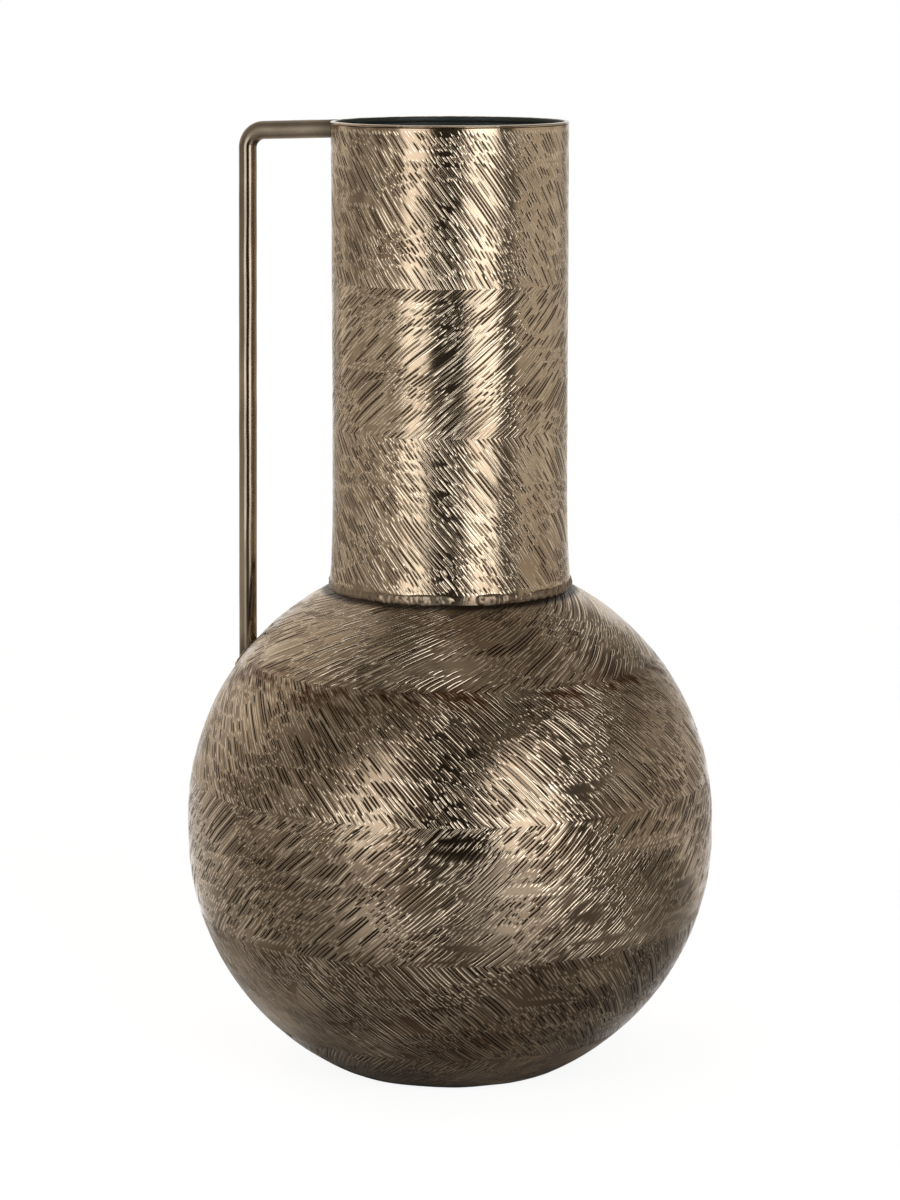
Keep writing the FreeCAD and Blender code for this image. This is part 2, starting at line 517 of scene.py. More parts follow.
class Shell:
    """Mesh put together from rings of points, taken once round its section.

    The rings follow the outside down and the inside up, and the faces between one ring and the
    next look out of the metal.
    """

    def __init__(self, name: str) -> None:
        """Starts an empty shell.

        Args:
            name: The name of the object and its mesh.
        """
        self.name = name
        self.points: list[Array] = []
        self.faces: list[Array] = []
        self.hard: list[Array] = []
        self.maps: dict[str, list[Array]] = {LANES: [], GRAIN: []}
        self.marks: dict[str, list[Array]] = {mark: [] for mark in (WORK, COAT, GRIME_AND_SHADE, TONE, STAIN)}
        self.count = 0

    def rings(self, points: Array, **marks: object) -> Array:
        """Adds rings of points.

        Args:
            points: Rings by points by 3, in millimetres.
            **marks: Values of the piece's attributes, broadcast to the rings.

        Returns:
            The points' numbers, rings by points.
        """
        size = points.shape[0] * points.shape[1]
        numbers = np.arange(self.count, self.count + size).reshape(points.shape[:2])
        self.count += size
        self.points.append(points.reshape(-1, 3))
        for name, values in self.marks.items():
            values.append(np.broadcast_to(marks.get(name, 0.0), points.shape[:2]).ravel())
        return numbers

    def plain(self, radius: Array, height: Array, angle: Array, **marks: object) -> Array:
        """Adds level rings of points at some angles, each with its radius and height."""
        return self.rings(round_axis(radius[:, None], height[:, None], angle), **marks)

    def add(self, faces: Array, maps: dict[str, Array] | None = None) -> None:
        """Adds faces.

        Args:
            faces: Points' numbers, faces by corners.
            maps: The corners' places on the maps, if they have any.
        """
        self.faces.append(faces)
        for name, layers in self.maps.items():
            given = (maps or {}).get(name)
            layers.append(np.zeros((faces.size, 2)) if given is None else given.reshape(-1, 2))

    def strip(self, numbers: Array, maps: dict[str, Array] | None = None) -> None:
        """Adds the four-cornered faces between each ring and the next.

        Args:
            numbers: Points' numbers, rings by points.
            maps: The faces' corners on the maps, if they have any.
        """
        right = np.roll(numbers, -1, axis=1)
        quads = np.stack([numbers[:-1], numbers[1:], right[1:], right[:-1]], axis=-1)
        self.add(quads.reshape(-1, 4), maps)

    def hoop(self, points: Array, order: int, **marks: object) -> None:
        """Adds rings of which the last joins the first, taken in their order (1) or against it (-1)."""
        numbers = self.rings(points, **marks)
        self.strip(np.concatenate([numbers, numbers[:1]])[::order])

    def stitch(self, first: Array, second: Array) -> None:
        """Adds triangles between two rings whose first points face each other.

        Both rings' steps are taken in the order of their share of the turn, and each step makes
        the triangle between the points reached so far and the next one.

        Args:
            first: Numbers of the points of the ring that comes first.
            second: Those of the ring that comes next.
        """
        steps = [(np.arange(len(ring)) + 1) / len(ring) for ring in (first, second)]
        on_second = np.argsort(np.concatenate(steps), kind="stable") >= len(first)
        done_second = np.cumsum(on_second) - on_second
        done_first = np.cumsum(~on_second) - ~on_second
        here, there = first[done_first % len(first)], second[done_second % len(second)]
        following = np.where(on_second, second[(done_second + 1) % len(second)],
                             first[(done_first + 1) % len(first)])
        self.add(np.stack([here, there, following], axis=1))

    def fan(self, ring: Array, tip: int, opens: bool) -> None:
        """Closes a ring with triangles to a point, which comes before the ring if it opens there."""
        sides = [np.full(len(ring), tip), ring] if opens else [ring, np.full(len(ring), tip)]
        self.add(np.stack([*sides, np.roll(ring, -1)], axis=1))

    def build(self, finish: "Finish | FloorFinish") -> Piece:
        """Puts the rings and faces into a mesh object in the scene.

        Args:
            finish: What the whole piece wears.

        Returns:
            The object, smooth, with its maps and attributes.
        """
        mesh = bpy.data.meshes.new(self.name)
        points = np.concatenate(self.points) * MM
        corners = np.concatenate([faces.ravel() for faces in self.faces])
        totals = np.concatenate([np.full(len(faces), faces.shape[1]) for faces in self.faces])
        mesh.vertices.add(len(points))
        mesh.vertices.foreach_set("co", points.ravel())
        mesh.loops.add(len(corners))
        mesh.loops.foreach_set("vertex_index", corners)
        mesh.polygons.add(len(totals))
        mesh.polygons.foreach_set("loop_start", np.cumsum(totals) - totals)
        mesh.polygons.foreach_set("use_smooth", np.ones(len(totals), bool))
        for name, layers in self.maps.items():
            layer = mesh.uv_layers.new(name=name, do_init=False)
            layer.uv.foreach_set("vector", np.concatenate(layers).astype(np.float32).ravel())
        for name, values in self.marks.items():
            mark = mesh.attributes.new(name, "FLOAT", "POINT")
            mark.data.foreach_set("value", np.concatenate(values).astype(np.float32))
        mesh.update(calc_edges=True)
        mesh.validate()
        self.sharpen(mesh)
        mesh.materials.append(finish.material())
        made = bpy.data.objects.new(self.name, mesh)
        bpy.context.scene.collection.objects.link(made)
        log.info("%s: %d points, %d triangles", self.name, len(points), int((totals - 2).sum()))
        return made

    def sharpen(self, mesh: bpy.types.Mesh) -> None:
        """Marks the edges of the hard rings sharp: those with both ends on the same ring.

        Args:
            mesh: The finished mesh.
        """
        ring_of = np.zeros(self.count, int)
        for number, ring in enumerate(self.hard, 1):
            ring_of[ring] = number
        ends = np.empty(2 * len(mesh.edges), int)
        mesh.edges.foreach_get("vertices", ends)
        first, second = ring_of[ends.reshape(-1, 2)].T
        sharp = mesh.attributes.new("sharp_edge", "BOOLEAN", "EDGE")
        sharp.data.foreach_set("value", (first == second) & (first > 0))


@dataclass(frozen=True)
class Band:
    """A turned band between two heights and the way that its strokes run."""

    high: float
    low: float
    lean: Lean
    angle: float = 45.0
    rows: int = 4
    bare: float = -2.2
    tone: float = 0.0

    def drift(self) -> float:
        """Sideways travel of a stroke for each millimetre down the surface."""
        return self.lean.value / math.tan(math.radians(self.angle))


@dataclass
class Chasing:
    """The chased outside of a turned surface, as rings of points with their strokes.

    Columns of points follow the strokes, so a lane of strokes is a fixed share of the columns.
    Courses lie one below the other, with soft waves in their borders.
    """

    profile: Profile
    bands: list[Band]
    columns: int
    depth: float
    seed: int
    swell: float = 0.07
    swell_length: float = 26.0
    pitch: float = 1.8
    course: float = 16.5
    course_wave: float = 0.22
    wave_length: float = 34.0
    band_key: float = 32.0
    first_course: float = 4.0
    warp: float = 0.4
    warp_length: float = 40.0
    start_angle: float = 75.0
    bare_length: Triple = (70.0, 70.0, 9.0)
    bare_span: float = 0.5
    cloud_length: Triple = (60.0, 60.0, 22.0)
    cloud_share: float = 0.1
    cloud_least: float = 0.025

    def __post_init__(self) -> None:
        """Lays out the rows and the points, then the lanes, the courses and the depth of the cuts."""
        run_at = self.profile.run_at
        runs = [np.linspace(run_at(band.high), run_at(band.low), band.rows + 1)[1:] for band in self.bands]
        self.runs = np.concatenate([[run_at(self.bands[0].high)], *runs])
        self.row_band = np.repeat(np.arange(len(self.bands)), [band.rows for band in self.bands])
        self.radius, self.height = self.profile.at(self.runs)
        self.points = self.laid()
        parts = [self.first_part(number) for number in self.row_band]
        self.lanes = np.array([self.lane_count(self.bands[part]) for part in parts])
        self.tops = np.array([run_at(self.bands[part].high) for part in parts])
        self.keys = self.band_key * np.array(parts) + self.first_course
        self.waved = self.course_wave * waves(self.points, self.wave_length, self.seed + 3)
        self.work = self.worked()
        self.cuts = self.cut_depth()

    def by_row(self, name: str) -> Array:
        """A field of the bands for each row."""
        return np.array([getattr(self.bands[number], name) for number in self.row_band])

    def first_part(self, number: int) -> int:
        """The first of the bands above one whose strokes go on into it.

        Args:
            number: A band's place in the list.

        Returns:
            The place of the other, or the same.
        """
        lean = self.bands[number].lean
        while number and lean != Lean.PLAIN and self.bands[number - 1].lean == lean:
            number -= 1
        return number

    def lane_count(self, band: Band) -> int:
        """Lanes of a band: its middle's girth across the strokes in steps of the pitch.

        Args:
            band: A chased or plain band.

        Returns:
            The number of lanes, which is whole.
        """
        run = (self.profile.run_at(band.high) + self.profile.run_at(band.low)) / 2
        girth = TURN * float(self.profile.at(run)[0])
        return round(girth * math.sin(math.radians(band.angle)) / self.pitch)

    def laid(self) -> Array:
        """The uncut surface: each ring is turned on from the one above it by the strokes' drift.

        The angle of a point is its share of the turn plus the drift added up so far, plus a soft
        warp of less than a lane, which bends the lanes a little.

        Returns:
            The points, rings by columns by 3.
        """
        middle = (self.radius[1:] + self.radius[:-1]) / 2
        slope = np.array([self.bands[number].drift() for number in self.row_band])
        turned = np.concatenate([[0.0], np.cumsum(slope * np.diff(self.runs) / middle)])
        turned = turned + math.radians(self.start_angle)
        angle = turned[:, None] + turns(self.columns)
        radius, height = self.radius[:, None], self.height[:, None]
        bend = self.warp * waves(round_axis(radius, height, angle), self.warp_length, self.seed)
        self.angle = angle + bend / radius
        return round_axis(radius, height, self.angle)

    def worked(self) -> Array:
        """How strongly each point is worked: 0 on plain bands and on patches that the tool missed.

        Returns:
            A share from 0 to 1, rings by columns.
        """
        noise = waves(self.points, self.bare_length, self.seed + 1)
        bare, plain = self.by_row("bare"), self.by_row("lean") == Lean.PLAIN
        work = ramp_up(noise, np.append(bare, bare[-1])[:, None], self.bare_span)
        work[:-1][plain] = 0
        work[1:][plain] = 0
        return work

    def tones(self) -> Array:
        """How dark each point is: its band's tone, cloudy, in steps at the borders.

        Returns:
            A share from 0 to 1, rings by columns.
        """
        # The tones darken the lower bands: partly patina, partly painted shade for the darker floor that the
        # lower body mirrors.
        tone = self.by_row("tone")
        tone = (np.append(tone[0], tone) + np.append(tone, tone[-1])) / 2
        cloud = waves(self.points, self.cloud_length, self.seed + 4)
        return np.clip(tone[:, None] * (1 + self.cloud_share * cloud) + self.cloud_least * cloud, 0, 1)

    def courses(self, rows: Array, rings: Array) -> Array:
        """Course coordinate of whole rings as the rows of faces that they bound count them."""
        down = (self.runs[rings] - self.tops[rows]) / self.course + self.keys[rows]
        return down[:, None] + self.waved[rings]

    def cut_depth(self) -> Array:
        """Depth of the cuts at each point, the deeper by the rows above and below it.

        Returns:
            A depth from 0 to 1, rings by columns.
        """
        deepest = np.zeros(self.points.shape[:2])
        rows = np.arange(len(self.row_band))
        across = (self.lanes[:, None] * (np.arange(self.columns) / self.columns)).astype(np.float32)
        for rings in (rows, rows + 1):
            found = STROKE.cuts(across, self.courses(rows, rings).astype(np.float32))
            deepest[rings] = np.maximum(deepest[rings], found)
        return deepest

    def surface(self) -> Array:
        """The cut surface: each point moves along the profile's normal by its swell less its cut.

        Returns:
            The points, rings by columns by 3.
        """
        out, up = self.profile.outward(self.runs)
        swell = self.swell * waves(self.points, self.swell_length, self.seed + 2)
        move = swell - self.depth * self.cuts * self.work
        normal = round_axis(out[:, None], up[:, None], self.angle)
        moved = self.points + move[..., None] * normal
        moved[..., 2] = np.maximum(moved[..., 2], 0)
        return moved

    def maps(self, part: slice) -> dict[str, Array]:
        """Places of every face's four corners on the two maps.

        Args:
            part: Which rows of faces.

        Returns:
            Places across and down, in lanes and courses and in millimetres.
        """
        rows = np.arange(len(self.row_band))[part]
        share = np.arange(self.columns + 1) / self.columns
        across = np.stack([share[:-1], share[:-1], share[1:], share[1:]], axis=-1)
        upper, lower = self.courses(rows, rows), self.courses(rows, rows + 1)
        down = np.stack([upper, lower, np.roll(lower, -1, axis=1), np.roll(upper, -1, axis=1)], axis=-1)
        run = np.stack([self.runs[rows], self.runs[rows + 1]], axis=-1)[:, None, [0, 1, 1, 0]]
        side = TURN * np.mean(self.radius) * across
        lanes = np.stack(np.broadcast_arrays(self.lanes[rows, None, None] * across, down), axis=-1)
        return {LANES: lanes, GRAIN: np.stack(np.broadcast_arrays(side, run), axis=-1)}

    def shell(self, name: str, rows: slice, **marks: Array) -> tuple[Shell, Array]:
        """Starts a shell with rows of the cut surface.

        Args:
            name: The piece's name.
            rows: Which rows of faces.
            **marks: Further attributes, rings by columns.

        Returns:
            The shell and the numbers of its points.
        """
        shell = Shell(name)
        rings = slice(rows.start, rows.stop + 1)
        marks = {WORK: self.work, TONE: self.tones(), **marks}
        numbers = shell.rings(self.surface()[rings], **{mark: marks[mark][rings] for mark in marks})
        shell.strip(numbers, self.maps(rows))
        return shell, numbers

    def line(self, shell: Shell, outer: Array, last: int, section: tuple[Array, Array], count: int) -> Array:
        """Closes a shell with a plain coated lining that runs up inside the skin to its first ring.

        Args:
            shell: The shell that holds the skin.
            outer: Numbers of the skin's points.
            last: The skin's lowest ring.
            section: Radius and height of the lining's rings.
            count: Points in each of them.

        Returns:
            Numbers of the lining's points.
        """
        start = float(self.angle[last, 0])
        inside = shell.plain(*section, turns(count, start), coat=1.0)
        shell.stitch(outer[-1], inside[0])
        shell.strip(inside)
        turn = round((float(self.angle[0, 0]) - start) / TURN * count)
        shell.stitch(np.roll(inside[-1], -turn), outer[0])
        shell.hard = [outer[-1], inside[0]]
        return inside


# Finishes


@dataclass(frozen=True)
class Finish:
    """Antique bronze: a warm metal with a brown skin, darker in the cuts, with dirt and painted shade in
    corners.
    """

    name: str = "chased_bronze_finish"
    metal: Triple = (0.56, 0.44, 0.31)
    skin: Triple = (0.27, 0.178, 0.113)
    rubbed: Triple = (0.95, 0.80, 0.60)
    cut: Triple = (0.035, 0.023, 0.015)
    grime: Triple = (0.035, 0.024, 0.017)
    coat: Triple = (0.050, 0.062, 0.053)
    deep: Triple = (0.100, 0.059, 0.036)
    rust: Triple = (0.10, 0.036, 0.012)
    cloud_scale: float = 22.0
    speck_scale: float = 420.0
    pebble_scale: float = 160.0
    brushed: Triple = (1.6, 0.10, 1)
    skin_cloud: Pair = (0.32, 0.4)
    skin_share: float = 0.6
    speck_share: float = 0.25
    cut_edge: float = 0.38
    cut_share: float = 0.8
    cut_darker: float = 0.4
    rim_share: float = 0.85
    rim_duller: float = 0.45
    rim_rise: float = 6.0
    rim_fade: Pair = (0.9, 3.0)
    dark_fade: Pair = (0.1, 2.0)
    smooth_roughness: float = 0.13
    cut_roughness: float = 0.20
    coat_roughness: float = 0.42
    worn_roughness: float = 0.0
    grime_and_shade_roughness: float = 0.2
    cloud_roughness: float = 0.10
    speck_roughness: float = 0.06
    tone_polish: float = 0.05
    cut_bump: float = 0.24
    rim_bump: float = 0.16
    pebble_bump: float = 0.006
    brushed_bump: float = 0.036
    chased: bool = True
    coated: bool = True

    def material(self) -> bpy.types.Material:
        """The finish as a material, made once.

        Returns:
            The material that all pieces with this finish share.
        """
        known = bpy.data.materials.get(self.name)
        if known is not None:
            return known
        made = bpy.data.materials.new(self.name)
        graph = Graph(made)
        place = graph.node("TexCoord").outputs["Object"]
        coat, grime, tone, stain = (graph.attribute(name) for name in (COAT, GRIME_AND_SHADE, TONE, STAIN))
        cloud, speck = graph.noise(place, self.cloud_scale, 3.0), graph.noise(place, self.speck_scale)
        shade = ramp_up(cloud, *self.skin_cloud) * self.skin_share + (speck - 0.5) * self.speck_share
        # The tone darkens the colour towards deep: partly patina, partly painted shade on the lower body.
        colour = graph.mixed(tone, graph.mixed(shade, self.metal, self.skin), self.deep)
        rough = self.smooth_roughness + (cloud - 0.5) * self.cloud_roughness
        rough = rough + (speck - 0.5) * self.speck_roughness - tone * self.tone_polish
        height = graph.noise(place, self.pebble_scale) * self.pebble_bump
        if self.chased:
            cuts, line, lines = self.strokes(graph)
            rim = eased(cuts * self.rim_rise) * eased(self.rim_fade[0] - line * self.rim_fade[1])
            rim = rim * self.rim_share
            colour = graph.mixed(rim * (1 - tone * self.rim_duller), colour, self.rubbed)
            share = eased(line * self.dark_fade[1] - self.dark_fade[0])
            share = share * (tone * self.cut_darker + self.cut_share)
            colour = graph.mixed(share, colour, self.cut)
            rough = rough + line * (self.cut_roughness - self.smooth_roughness)
            height = height + lines * self.brushed_bump - line * self.cut_bump - cuts * self.rim_bump
        # The grime mark mixes in a near-black colour: dirt, and painted shade in corners, creases, pits and
        # undersides.
        for mark, over in ((stain, self.rust), (grime, self.grime), (coat, self.coat)):
            colour = graph.mixed(mark, colour, over)
        if self.worn_roughness:
            rough = rough + graph.attribute(WORK) * self.worn_roughness
        rough = rough + grime * self.grime_and_shade_roughness
        shader = graph.node("BsdfPrincipled", inputs={
            "Base Color": colour,
            "Metallic": 1 - coat if self.coated else 1.0,
            "Roughness": rough + (self.coat_roughness - rough) * coat,
            "Normal": graph.node("Bump", inputs={"Strength": 1.0, "Distance": MM, "Height": height})})
        graph.node("OutputMaterial", inputs={"Surface": shader})
        return made

    def strokes(self, graph: Graph) -> tuple[Value, Value, Value]:
        """The chasing in the material, with the cuts from the same formula as the mesh.

        Args:
            graph: The material's tree.

        Returns:
            Depth of the cuts, the part of it in their dark middle, and fine brushed lines.
        """
        split = graph.node("SeparateXYZ", inputs={0: graph.node("UVMap", {"uv_map": LANES})})
        lanes, courses = (Value(graph, output) for output in split.outputs[:2])
        cuts = STROKE.cuts(lanes, courses) * graph.attribute(WORK)
        line = at_least(cuts - self.cut_edge, 0.0) * (1 / (1 - self.cut_edge))
        grain = graph.node("UVMap", {"uv_map": GRAIN})
        return cuts, line, graph.noise(grain, 1.0, 3.0, self.brushed)


CHASED = Finish()
SMOOTH = Finish("smooth_bronze_finish", chased=False, smooth_roughness=0.14)
ROD = Finish("rod_bronze_finish", metal=(0.40, 0.325, 0.24), skin=(0.165, 0.128, 0.094), chased=False,
             coated=False, smooth_roughness=0.14, worn_roughness=0.36)
WELD = Finish("weld_bronze_finish", metal=(0.47, 0.38, 0.27), skin=(0.215, 0.15, 0.1), chased=False,
              coated=False, skin_share=0.9, smooth_roughness=0.30)


def placed(piece: Piece, slot: Slot, *nodes: str) -> Piece:
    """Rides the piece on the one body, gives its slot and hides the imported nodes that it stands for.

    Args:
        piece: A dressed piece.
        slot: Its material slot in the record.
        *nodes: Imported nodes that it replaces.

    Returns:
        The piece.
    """
    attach(piece, BODY)
    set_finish(piece, slot.value)
    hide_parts(*nodes)
    return piece


# The vase


@dataclass
class Globe:
    """The body: two bowls with a flush seam, chased in five bands as one skin."""

    wall: float = 2.4
    skirt: float = 7.0
    foot_rounding: float = 6.0
    root_radius: float = 61.6
    mouth_radius: float = 59.2
    mouth_drop: float = 0.2
    toe_radius: float = 63.9
    columns: int = 1640
    coarse: int = 96
    depth: float = 0.28
    seed: int = 3
    borders: tuple[float, ...] = (211.8, 150.7, 80.9, 23.4)
    shade_width: float = 1.6
    stain_drop: float = 3.0
    stain_width: float = 7.0
    stain_patch: Pair = (-0.5, 1.4)
    stain_length: Triple = (34.0, 34.0, 12.0)
    stain_grain: float = 6.0
    stain_seed: int = 61
    heaviest: float = 0.9
    underside_darkness: float = 0.4
    upper_rings: int = 26
    lower_rings: int = 40
    foot_steps: int = 40
    flat_rings: int = 4
    first_ring: float = 8.0

    def __post_init__(self) -> None:
        """Takes the sphere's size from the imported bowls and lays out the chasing."""
        low, high = node_box("lower_bowl")
        seam_low, seam_high = node_box("body_seam_weld")
        self.radius = (high[0] - low[0]) / 2
        self.seam = (seam_low[2] + seam_high[2]) / 2
        self.lower_centre = self.seam - self.skirt / 2
        self.upper_centre = self.seam + self.skirt / 2
        reach = self.radius - self.foot_rounding
        self.foot_centre = math.sqrt(reach ** 2 - (self.lower_centre - self.foot_rounding) ** 2)
        self.tangent = -math.acos(self.foot_centre / reach)
        self.skin = Chasing(self.outside(), self.bands(), self.columns, self.depth, self.seed)
        self.seam_row = int(np.argmin(np.abs(self.skin.height - self.seam)))

    def outside(self) -> Profile:
        """From the neck's root down: upper sphere, skirt, lower sphere and the foot's rounding.

        Returns:
            The half section.
        """
        root, foot = math.acos(self.root_radius / self.radius), (self.foot_centre, self.foot_rounding)
        return joined(
            arc_points((0, self.upper_centre), self.radius, root, 0),
            arc_points((0, self.lower_centre), self.radius, 0, self.tangent),
            arc_points(foot, self.foot_rounding, self.tangent, -math.pi / 2, self.foot_steps),
        )

    def bands(self) -> list[Band]:
        """Five chased bands, the third one in two parts about the seam, and the plain foot edge.

        Returns:
            The bands from the neck's root down.
        """
        top, (first, second, third, fourth) = self.shoulder(self.root_radius), self.borders
        edge = self.lower_centre + self.radius * math.sin(self.tangent)
        # The tones grow darker towards the foot: partly patina, partly painted shade for the darker floor
        # that the lower body mirrors.
        return [
            Band(top, first, Lean.RISING, angle=34, rows=20, tone=0.22),
            Band(first, second, Lean.FALLING, angle=47, rows=24, tone=0.32),
            Band(second, self.seam, Lean.RISING, angle=42, rows=9, bare=-1.5, tone=0.54),
            Band(self.seam, third, Lean.RISING, angle=42, rows=15, bare=-1.5, tone=0.54),
            Band(third, fourth, Lean.FALLING, angle=50, rows=24, tone=0.77),
            Band(fourth, edge, Lean.RISING, angle=48, rows=12, tone=0.72),
            Band(edge, 0.0, Lean.PLAIN, rows=3, tone=0.7),
        ]

    def shoulder(self, radius: float) -> float:
        """Height of the upper sphere at a distance from the axis."""
        return self.upper_centre + math.sqrt(self.radius ** 2 - radius ** 2)

    def marks(self) -> dict[str, Array]:
        """Painted shade and stains on the skin.

        Painted shade darkens the skin against the bead at the neck's root and fades with the distance.
        Reddish brown stains are soft patches that keep near the border of the upper two bands.

        Returns:
            The two attributes, rings by columns.
        """
        skin = self.skin
        # Painted shade: the shoulder darkens close to the bead's toe, in the crevice between them.
        distance = np.maximum(skin.radius - self.toe_radius, 0)
        close = bell(distance, self.shade_width) * (skin.height > self.upper_centre)
        near = bell(skin.height - self.borders[0] + self.stain_drop, self.stain_width)
        patch = waves(skin.points, self.stain_length, self.stain_seed)
        patch = patch + waves(skin.points, self.stain_grain, self.stain_seed + 1)
        return {GRIME_AND_SHADE: self.heaviest * close[:, None],
                STAIN: self.heaviest * near[:, None] * ramp_up(patch, *self.stain_patch)}

    def upper(self) -> Piece:
        """The upper bowl: chased outside, flat joint, plain coated inside and the mouth's edge.

        Returns:
            The placed piece.
        """
        shell, outer = self.skin.shell("UpperBowl", slice(0, self.seam_row), **self.marks())
        inner, mouth = self.radius - self.wall, self.mouth_radius
        arc = arc_points((0, self.upper_centre), inner, 0, math.acos(mouth / inner))
        radius, height = joined((inner, self.seam), arc).spread(self.upper_rings)
        section = np.append(radius, mouth), np.append(height, self.shoulder(mouth) - self.mouth_drop)
        self.skin.line(shell, outer, self.seam_row, section, self.coarse)
        return placed(shell.build(CHASED), Slot.CHASED, "upper_bowl")

    def lower(self) -> Piece:
        """The lower bowl: chased outside, flat foot and plain coated inside.

        Returns:
            The placed piece.
        """
        skin, last, wall = self.skin, len(self.skin.runs) - 1, self.wall
        shell, outer = skin.shell("LowerBowl", slice(self.seam_row, last), **self.marks())
        flat = np.linspace(float(skin.radius[last]), 0, self.flat_rings + 2)[1:-1]
        # The flat underside of the foot is darker.
        under = shell.plain(flat, 0 * flat, turns(self.coarse, skin.angle[last, 0]),
                            grime=self.underside_darkness)
        shell.stitch(outer[-1], under[0])
        shell.strip(under)
        tips = shell.rings(np.array([[[0.0, 0, 0], [0, 0, wall]]]), coat=np.array([[0.0, 1]]))[0]
        shell.fan(under[-1], tips[0], opens=False)
        foot, steps = (self.foot_centre, self.foot_rounding), self.foot_steps
        section = joined(
            (np.linspace(self.first_ring, self.foot_centre, steps), np.full(steps, wall)),
            arc_points(foot, self.foot_rounding - wall, -math.pi / 2, self.tangent, steps),
            arc_points((0, self.lower_centre), self.radius - wall, self.tangent, 0),
            (self.radius - wall, self.seam)).spread(self.lower_rings)
        inside = shell.plain(*section, turns(self.coarse, skin.angle[self.seam_row, 0]), coat=1.0)
        shell.fan(inside[0], tips[1], opens=True)
        shell.strip(inside)
        shell.stitch(inside[-1], outer[0])
        shell.hard = [outer[0], inside[-1]]
        return placed(shell.build(CHASED), Slot.CHASED, "lower_bowl", "body_seam_weld")


@dataclass
class Neck:
    """The neck tube: three chased bands between a plain edge under the lip and a plain root."""

    globe: Globe
    radius: float = 59.6
    wall: float = 2.4
    flare: float = 2.0
    flare_height: float = 50.0
    columns: int = 900
    coarse: int = 144
    depth: float = 0.17
    seed: int = 11
    swell: float = 0.05
    cover: float = 1.6
    stroke_top: float = 480.6
    borders: Pair = (403.4, 329.7)
    stroke_foot: float = 251.6
    root_shade: float = 0.5
    shade_width: float = 3.0
    section_points: int = 1200
    bore_rings: int = 30

    def __post_init__(self) -> None:
        """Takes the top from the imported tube, with the skin a little over the lip's foot."""
        self.top = float(node_box("neck_tube")[1][2]) + self.cover
        self.root = self.globe.shoulder(self.radius + self.flare)
        section = self.section(self.radius, self.root)
        self.skin = Chasing(section, self.bands(), self.columns, self.depth, self.seed, self.swell)

    def section(self, radius: float, low: float) -> Profile:
        """Straight from the top, then out with the square of the drop below the flare's start.

        Args:
            radius: Radius of the straight part.
            low: Height of the lower end.

        Returns:
            The half section.
        """
        height = np.linspace(self.top, low, self.section_points)
        start = self.globe.shoulder(radius + self.flare) + self.flare_height
        drop = np.maximum(start - height, 0) / self.flare_height
        return Profile(radius + self.flare * drop ** 2, height)

    def bands(self) -> list[Band]:
        """A plain edge, three chased bands that change direction and a plain root.

        Returns:
            The bands from the top down.
        """
        high, low = self.borders
        return [
            Band(self.top, self.stroke_top, Lean.PLAIN, rows=1),
            Band(self.stroke_top, high, Lean.FALLING, angle=55, rows=28),
            Band(high, low, Lean.RISING, angle=39, rows=28),
            Band(low, self.stroke_foot, Lean.FALLING, angle=52, rows=28),
            Band(self.stroke_foot, self.root, Lean.PLAIN, rows=4),
        ]

    def build(self) -> Piece:
        """The tube as a closed shell: outside down, then the coated bore up.

        Returns:
            The placed piece.
        """
        # Painted shade: the skin darkens towards its root, where the neck meets the bead.
        grime = self.root_shade * bell(self.skin.height - self.root, self.shade_width)[:, None]
        last = len(self.skin.runs) - 1
        shell, outer = self.skin.shell("Neck", slice(0, last), grime=grime)
        bore = self.radius - self.wall
        profile = self.section(bore, self.globe.shoulder(bore + self.flare))
        section = profile.at(np.linspace(profile.run[-1], self.cover, self.bore_rings))
        inside = self.skin.line(shell, outer, last, section, self.coarse)
        shell.hard += [outer[0], inside[-1]]
        return placed(shell.build(CHASED), Slot.CHASED, "neck_tube")


@dataclass
class Lip:
    """The lip ring: its foot stands in the neck's skin and only a small rolled crest shows."""

    wall: float = 2.4
    overhang: float = 0.6
    shown: float = 0.25
    tuck: float = 0.45
    roll: float = 1.4
    under_roll: float = 0.35
    columns: int = 480
    soft: float = 0.05
    soft_length: float = 14.0
    sharp: float = 0.04
    sharp_length: float = 3.0
    seed: int = 21
    chamfer: float = 0.4
    coat_edge: float = 0.5
    roll_steps: int = 16
    ease_steps: int = 6
    bore_rings: int = 3

    def build(self) -> Piece:
        """The section runs over the crest, down the outside, under the skin, and up the bore side.

        The crest is an ellipse, and below it the outside eases in to just inside the neck's skin.

        Returns:
            The placed piece.
        """
        low, high = node_box("lip_ring")
        neck = (high[0] - low[0]) / 2 - self.overhang
        outer, bore, under = neck + self.shown, neck - self.wall, neck - self.tuck
        bottom, crest = low[2], high[2]
        side, foot = crest - self.roll / 2, crest - self.roll - self.under_roll
        turn = np.linspace(math.pi, 0, self.roll_steps + 1)[1:]
        ease = np.linspace(0, 1, self.ease_steps + 1)[1:]
        radius = np.concatenate([
            bore + (outer - bore) / 2 * (1 + np.cos(turn)), outer + (under - outer) * eased(ease),
            [under, bore + self.chamfer], [bore] * self.bore_rings])
        height = np.concatenate([
            side + self.roll / 2 * np.sin(turn), side + (foot - side) * ease,
            [bottom, bottom], np.linspace(bottom, side, self.bore_rings)])
        coat = (radius < bore + self.coat_edge) * 1.0
        angle = turns(self.columns)
        ring = round_axis(neck, crest, angle)
        uneven = self.soft * waves(ring, self.soft_length, self.seed)
        uneven = uneven + self.sharp * waves(ring, self.sharp_length, self.seed + 1)
        uneven = uneven * np.clip((height - bottom) / (crest - bottom), 0, 1)[:, None]
        radius, height = radius[:, None] + uneven, np.minimum(height[:, None] + uneven / 2, crest)
        shell = Shell("LipRing")
        shell.hoop(round_axis(radius, height, angle), 1, coat=coat[:, None])
        return placed(shell.build(SMOOTH), Slot.SMOOTH, "lip_ring")


